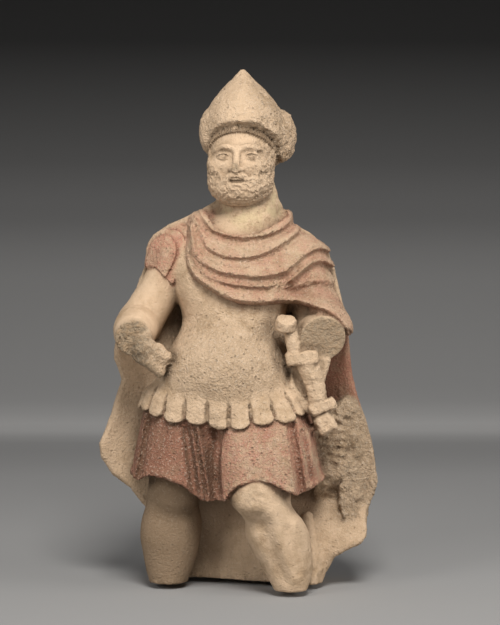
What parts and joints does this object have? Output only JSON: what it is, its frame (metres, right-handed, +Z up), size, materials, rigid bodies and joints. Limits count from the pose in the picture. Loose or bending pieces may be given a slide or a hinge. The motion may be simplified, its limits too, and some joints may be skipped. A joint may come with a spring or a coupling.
{
  "type": "limestone warrior statue",
  "caption": "Limestone statue of a bearded warrior in pointed helmet, moulded cuirass, tunic and cloak, with a sheathed sword under the left arm, broken off at the shins.",
  "frame": {"origin": "centre of the footprint of the whole statue's bounding box, on the flat broken underside", "axes": "+Z up, the warrior faces -Y, and +X is the side of the left arm and the sword"},
  "size_m": [0.3801, 0.2113, 0.6859],
  "materials": {
    "limestone": "matte weathered limestone with faded red pigment"
  },
  "bodies": {
    "root": {"statue": "limestone"}
  },
  "joints": []
}
